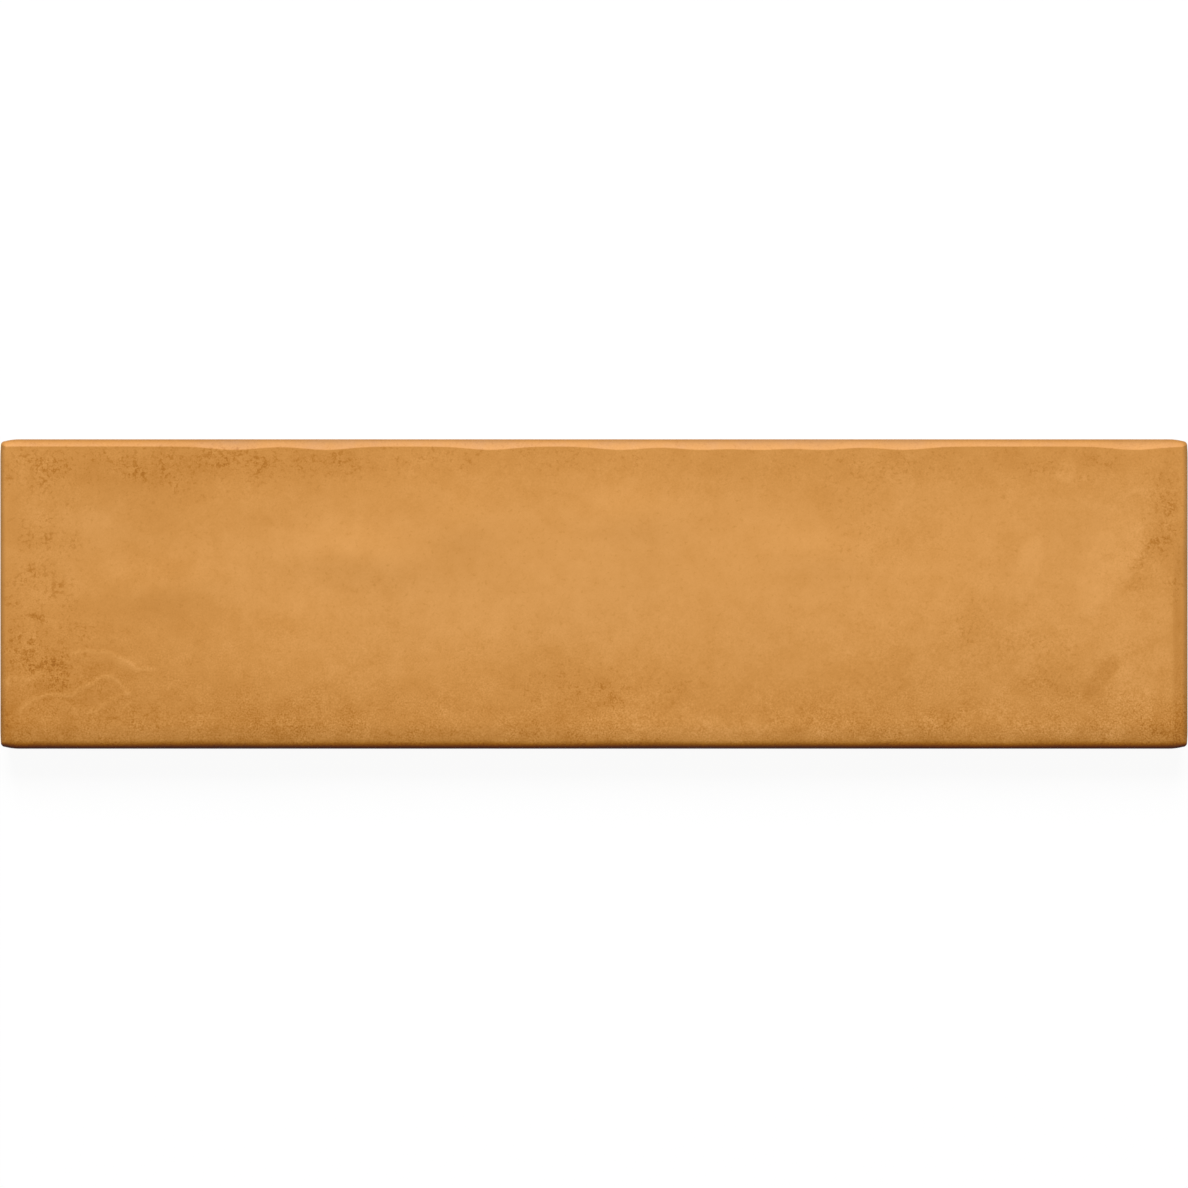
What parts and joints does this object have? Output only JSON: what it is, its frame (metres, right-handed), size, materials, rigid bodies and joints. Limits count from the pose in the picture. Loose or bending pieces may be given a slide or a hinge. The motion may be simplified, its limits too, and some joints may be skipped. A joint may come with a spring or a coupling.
{
  "type": "ceramic wall tile",
  "caption": "Long rectangular glazed wall tile with a gently wavy face, rolled edges with a wandering crease, and a keyed back.",
  "frame": {"origin": "centre of the bonding plane of the back, on which the tile lies", "axes": "+X along the tile towards the end with the worn facet, +Y across it towards the long side whose crease dips into the face, +Z out of the glazed face"},
  "size_m": [0.25, 0.0652, 0.0089],
  "materials": {
    "glaze": "satin",
    "biscuit": "matte"
  },
  "bodies": {
    "root": {"tile": "glaze"}
  },
  "joints": []
}
